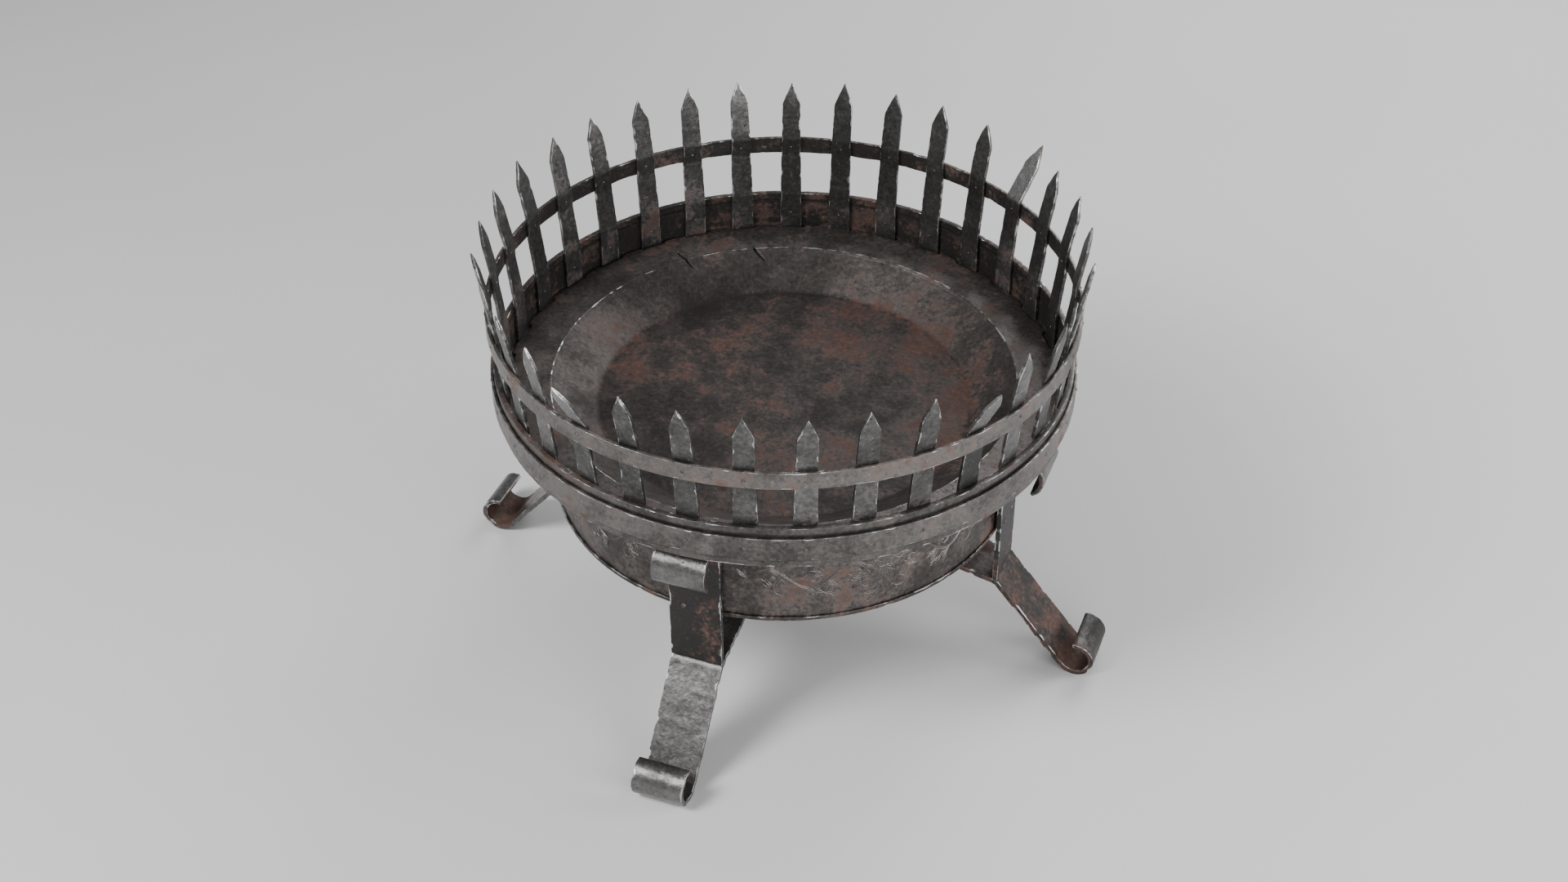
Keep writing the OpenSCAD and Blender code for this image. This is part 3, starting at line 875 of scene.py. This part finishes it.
def curl(start, heading, length, bend, end_bend, power=1.5, steps=70):
    """A line that starts at a point and heading and curls ever more tightly, and its heading at
    each point. In millimetres and degrees, but the headings it returns are in radians."""
    share = np.linspace(0, 1, steps)
    step = length / (steps - 1)
    turn = bend + (end_bend - bend) * share ** power
    way = math.radians(heading) + np.r_[0, np.cumsum((turn[1:] + turn[:-1]) / 2)] * step
    ahead = np.stack([np.cos(way), np.sin(way)], -1) * step
    return np.array(start) + np.concatenate([[[0, 0]], np.cumsum(ahead[:-1], 0)]), way


def leaf(start, heading, length, bulge):
    """The two sides and the vein of a leaf, whose heading is in radians."""
    share = np.linspace(0, 1, 16)
    ahead = np.array([math.cos(heading), math.sin(heading)])
    aside = np.array([-ahead[1], ahead[0]])
    droop = (share ** 2 * bulge * 0.9)[:, None] * aside
    spine = np.array(start) + share[:, None] * length * ahead + droop
    wide = (np.sin(math.pi * share ** 0.8) * abs(bulge) * 0.55)[:, None] * aside
    return [spine + wide, spine - wide, spine[2:12]]


# The stem's waves, in millimetres: how far it swings, half a wave, and where its far end is.
STEM_SWING = 17.0
STEM_HALF_WAVE = 57.0
STEM_FAR = 188.0


def stem_at(x):
    """Points of the stem at these distances from the panel's middle."""
    swing = STEM_SWING * np.sin(math.pi * (STEM_FAR - x) / STEM_HALF_WAVE)
    return np.stack([x, swing], -1)


def commas(line, way, side, shares, size):
    """Short strokes that leave a line on one side and bend back along it."""
    strokes = []
    for n, share in enumerate(shares):
        at = int(share * (len(line) - 1))
        turn = math.degrees(way[at]) + side * 52
        strokes.append(curl(line[at], turn, size * (1 - 0.08 * n), -side * 0.02, -side * 0.17)[0])
    return strokes


def volute(crest, side):
    """A doubled spiral that leaves the stem at a crest and fills the hollow below it, with short
    strokes along both its sides and a bud at its eye."""
    line, way = curl(crest, 180, 112, side / 21, side / 4.2, 1.35)
    twin, _ = curl(crest - [0, side * 2.6], 180, 58, side / 18.2, side / 9.5, 1.3)
    strokes = [line, twin] + commas(line, way, -side, (0.16, 0.25, 0.34, 0.43, 0.52), 12)
    strokes += commas(line, way, side, (0.30, 0.42, 0.54), 6)
    strokes.append(curl(line[-1], 0, 11, 0.56, 0.56, 1.0, 18)[0])
    return strokes


def vine():
    """The lines of one half panel, from the leg towards the middle: x along the drum from the
    panel's middle, y above its mid height, in millimetres. A doubled stem runs in waves, and
    from each crest a spiral curls into the hollow."""
    lines = [stem_at(np.linspace(STEM_FAR, 12, 130)) + [0, gap] for gap in (0.0, 2.4)]
    for wave in range(3):
        side = 1 - 2 * (wave % 2)
        crest = stem_at(np.array([STEM_FAR - (wave + 0.5) * STEM_HALF_WAVE]))[0]
        lines += volute(crest, side)
        for start, turn, length in ((4, 26, 46), (-9, 40, 34)):
            line, way = curl(crest + [start, side], 180 - side * turn, length, -side * 0.004,
                             side / 4.4, 1.7)
            lines += [line] + commas(line, way, -side, (0.2, 0.42, 0.62), 9)
        for turn, size in ((34, 15), (64, 19), (94, 17), (124, 13)):
            spot = crest + [6 - turn * 0.14, side * 1.5]
            lines += leaf(spot, math.radians(180 - side * turn), size, -side * size * 0.3)
        low = stem_at(np.array([STEM_FAR - (wave + 1) * STEM_HALF_WAVE + 6]))[0]
        for turn, size in ((118, 14), (84, 20), (50, 17)):
            lines += leaf(low, math.radians(180 - side * turn), size, side * size * 0.3)
        line, way = curl(low + [6, 0], 180 + side * 112, 48, side * 0.006, -side / 4.6, 1.6)
        lines += [line] + commas(line, way, side, (0.16, 0.32, 0.48), 10)
    for turn, size in ((-64, 13), (-34, 17), (0, 15), (34, 17), (64, 13)):
        bulge = 4.2 if turn > 0 else -4.2
        lines += leaf((STEM_FAR - 2, 1), math.radians(turn), size, bulge)
    for turn, size in ((90, 26), (58, 22), (26, 18), (-26, 18), (-58, 22), (-90, 26)):
        lines += leaf((0.7, 0.3), math.radians(turn), size, 6.0 if turn > 0 else -6.0)
    for side in (1, -1):
        line, way = curl((2, side * 22), side * 62, 52, -side * 0.004, -side / 4.4, 1.6)
        lines += [line] + commas(line, way, side, (0.14, 0.3, 0.46), 10)
    return lines


# A rib's half width, rise, and how far its base lies below the drum's full radius. RIB_ARCH is its
# section, as shares of the half width and the rise.
RIB_HALF_W = 0.7 * MM
RIB_RISE = 0.55 * MM
RIB_SUNK = 0.35 * MM
RIB_ARCH = ((-1, -0.5), (-0.6, 0.55), (0, 1), (0.6, 0.55), (1, -0.5))
# How bright each point across a rib is: its crest is rubbed bare, and partly this is a painted
# highlight along the rib.
RIB_WEAR_AND_SHEEN = (0.1, 0.4, 0.6, 0.4, 0.1)
panel_z = (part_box("drum_wall")[0].z + flange_low_z) / 2 - 8 * MM


def ribs(lines):
    """A raised line on the drum's wall for each line of a panel."""
    parts = []
    for line in lines:
        reach = np.linalg.norm(np.diff(line, axis=0), axis=1).sum()
        line, _ = even(line, max(1.6, reach / 60))
        if len(line) < 4:
            continue
        ahead = unit(np.gradient(line, axis=0))
        aside = np.stack([-ahead[:, 1], ahead[:, 0]], -1)
        size = np.sin(np.clip(np.linspace(0.06, 0.96, len(line)), 0, 1) * math.pi) ** 0.45
        rows = []
        for across, rise in RIB_ARCH:
            flat = line * MM + aside * (across * RIB_HALF_W * size)[:, None]
            radius = drum_r - RIB_SUNK + rise * RIB_RISE * size
            turn = flat[:, 0] / drum_r
            rows.append(np.stack([radius * np.cos(turn), radius * np.sin(turn),
                                  panel_z + flat[:, 1]], -1))
        points = np.stack(rows, 1)
        count = len(RIB_ARCH)
        faces = [face[::-1] for face in grid_faces(len(line), count, False, True)]
        faces.append(list(range(count)))
        faces.append([(len(line) - 1) * count + n for n in range(count)][::-1])
        parts.append((points.reshape(-1, 3), faces, np.tile(RIB_WEAR_AND_SHEEN, len(line))))
    return parts


half_panel = vine()
other_half = [line * [-1, 1] for line in half_panel]
panel_shape = joined(ribs(half_panel + other_half))
panels = [turned(panel_shape, (leg + 0.5) * math.pi / 2) for leg in range(LEGS)]
# The ribs are painted pale and free of rust, partly a painted highlight that makes the lines stand
# out bright.
add_piece("drum_scrollwork", joined(panels), "drum_iron", tone=3.0, rust=-1)


# --- legs -------------------------------------------------------------

# How far the straps stay inside their size, and how deep their faces are dented.
INSET = 0.15 * MM
STRAP_DENTS = 0.4 * MM


def strap(path, seed, loss, roll_from):
    """Strap iron along a path of radius and height, with ragged edges and a thinned rolled end."""
    path, along = even(path, 1.8 * MM)
    centre, outward = upright_plane(path)
    length = along[-1]
    rolled = np.clip((along - roll_from) / (length - roll_from), 0, 1)
    thick = STRAP_T * (1 - 0.22 * rolled ** 3)
    return flat_bar(centre, outward, STRAP_W / 2 - INSET, thick, loss, across=14, through=2,
                    dents=STRAP_DENTS, seed=seed)


def upright(seed):
    """An upright's shape, and how pale and how rusty it is."""
    low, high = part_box("upright_1")
    radius = (high.x - low.x) / 2
    centre = (low.x + radius, high.z - radius)
    mid_r = radius - STRAP_T / 2 - INSET
    middle_x = upright_in_r + STRAP_T / 2
    start = np.array([[middle_x, KNEE_Z + 1.2 * MM], [middle_x, centre[1]]])
    swirl = arc((middle_x + mid_r, centre[1]), mid_r, math.pi, -ROLL_TURN)[1:]
    shape = strap(np.concatenate([start, swirl]), seed, 0.95 * MM, centre[1] - KNEE_Z)
    from_axis = np.hypot(shape[0][:, 0] - centre[0], shape[0][:, 2] - centre[1])
    # The scroll's outer face is painted paler and less rusty: partly bare iron, partly a painted
    # highlight on its curve.
    outside = (from_axis > radius - STRAP_T * 0.5) & (shape[0][:, 0] > centre[0] - radius * 0.6)
    inside = (from_axis < radius - STRAP_T * 0.6) & (shape[0][:, 2] > centre[1] - radius)
    return shape, -1.7 + 2.8 * outside, 0.25 - 0.7 * outside + 0.8 * inside


def foot(seed, paleness):
    """A foot strap's shape, and how pale and how rusty it is."""
    low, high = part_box("foot_strap_1")
    knee = np.array([upright_in_r + STRAP_T, KNEE_Z])
    centre = np.array([high.x - FOOT_ROLL_R - 0.1 * MM, FOOT_ROLL_R + 0.1 * MM])
    inner = FOOT_ROLL_R - STRAP_T
    to_knee = knee - centre
    reach = np.linalg.norm(to_knee)
    touch = math.atan2(to_knee[1], to_knee[0]) + math.acos(inner / reach)
    end = centre + inner * np.array([math.cos(touch), math.sin(touch)])
    upper = [np.array([low.x, floor_low.z]), np.array([PAD_END_X, floor_low.z]),
             np.array(BRACE_BEND), knee, end]
    middle = []
    for n, at in enumerate(upper):
        sides = [unit(b - a) for a, b in zip(upper, upper[1:])][max(n - 1, 0):n + 1]
        normals = [np.array([-s[1], s[0]]) for s in sides]
        mitre = sum(normals) / (1 if len(normals) == 1 else 1 + normals[0] @ normals[1])
        middle.append(at - mitre * STRAP_T / 2)
    bent = rounded(middle, 9 * MM)
    swirl = arc(centre, FOOT_ROLL_R - STRAP_T / 2 - INSET, touch, ROLL_TURN)[1:]
    straight = np.linalg.norm(np.diff(bent, axis=0), axis=1).sum()
    shape = strap(np.concatenate([bent, swirl]), seed, 1.5 * MM, straight)
    x, z = shape[0][:, 0], shape[0][:, 2]
    from_axis = np.hypot(x - centre[0], z - centre[1])
    inside = from_axis < FOOT_ROLL_R - STRAP_T * 0.6
    outside = (from_axis > FOOT_ROLL_R - STRAP_T * 0.5) & (x > centre[0])
    sloping = np.clip((x - knee[0]) / (12 * MM), 0, 1)
    shown = paleness * (0.6 + 0.4 * sloping)
    tone = shown - 0.6 * inside + 0.4 * outside
    rust = 0.1 - 0.9 * shown + 1.1 * inside - 0.9 * outside
    return shape, tone, rust


# From the right foot round to the front one: above 0 for bare iron, below 0 for rust.
FOOT_PALENESS = (-0.9, 0.1, 0.2, 1.0)
for leg in range(LEGS):
    turn = leg * math.pi / 2
    shape, tone, rust = upright(7 + leg)
    add_piece(f"upright_{leg + 1}_forged", turned(shape, turn), "leg_iron",
              [f"upright_{leg + 1}"], tone=tone, rust=rust)
    shape, tone, rust = foot(17 + leg, FOOT_PALENESS[leg])
    add_piece(f"foot_strap_{leg + 1}_forged", turned(shape, turn), "leg_iron",
              [f"foot_strap_{leg + 1}"], tone=tone, rust=rust)


# --- floor, light and camera ------------------------------------------

def floor_material():
    """A plain pale floor, whose tone varies a little."""
    n = Nodes("floor_plain", 0)
    surface = n.node("ShaderNodeBsdfPrincipled")
    cloud = n.noise(1.5, 3, 0.5)
    n.link(n.blend(cloud, (0.60, 0.60, 0.60), (0.66, 0.66, 0.66)), surface.inputs["Base Color"])
    surface.inputs["Roughness"].default_value = 0.75
    output = n.node("ShaderNodeOutputMaterial")
    n.link(surface.outputs[0], output.inputs["Surface"])
    return n.material


FLOOR_HALF = 14.0
corners = [(x * FLOOR_HALF, y * FLOOR_HALF, 0) for x, y in ((-1, -1), (1, -1), (1, 1), (-1, 1))]
floor_mesh = bpy.data.meshes.new("floor")
floor_mesh.from_pydata(corners, [], [(0, 1, 2, 3)])
floor = bpy.data.objects.new("floor", floor_mesh)
floor_mesh.materials.append(floor_material())
bpy.context.scene.collection.objects.link(floor)


def aim(thing, place, at):
    """Puts a light or camera at a place and points it at another."""
    thing.location = place
    thing.rotation_euler = (Vector(at) - Vector(place)).to_track_quat("-Z", "Y").to_euler()
    bpy.context.scene.collection.objects.link(thing)


def area_light(name, place, at, size, power):
    """A square light whose side is size metres and whose power is in watts."""
    data = bpy.data.lights.new(name, "AREA")
    data.size = size
    data.energy = power
    aim(bpy.data.objects.new(name, data), place, at)


LOOK_AT = (0, 0, 0.3)
area_light("key", (-1.7, -2.2, 3.0), LOOK_AT, 1.3, 150)
area_light("fill", (3.0, -1.6, 1.5), LOOK_AT, 1.8, 54)
area_light("low", (2.0, -2.8, 0.8), (0.1, -0.3, 0.15), 1.5, 46)
area_light("side", (3.0, 0.9, 1.3), LOOK_AT, 1.2, 50)
area_light("back", (0.6, 3.2, 2.4), LOOK_AT, 2.0, 85)

world = bpy.data.worlds.new("studio")
world.use_nodes = True
world.node_tree.nodes["Background"].inputs["Color"].default_value = (0.80, 0.81, 0.83, 1)
world.node_tree.nodes["Background"].inputs["Strength"].default_value = 0.32
bpy.context.scene.world = world

CAMERA_PLACE = (0.856, -2.271, 2.161)
CAMERA_AIM = (0, 0, 0.2687)
camera = bpy.data.objects.new("camera", bpy.data.cameras.new("camera"))
camera.data.lens = 50
camera.data.sensor_width = 36
aim(camera, CAMERA_PLACE, CAMERA_AIM)
bpy.context.scene.camera = camera
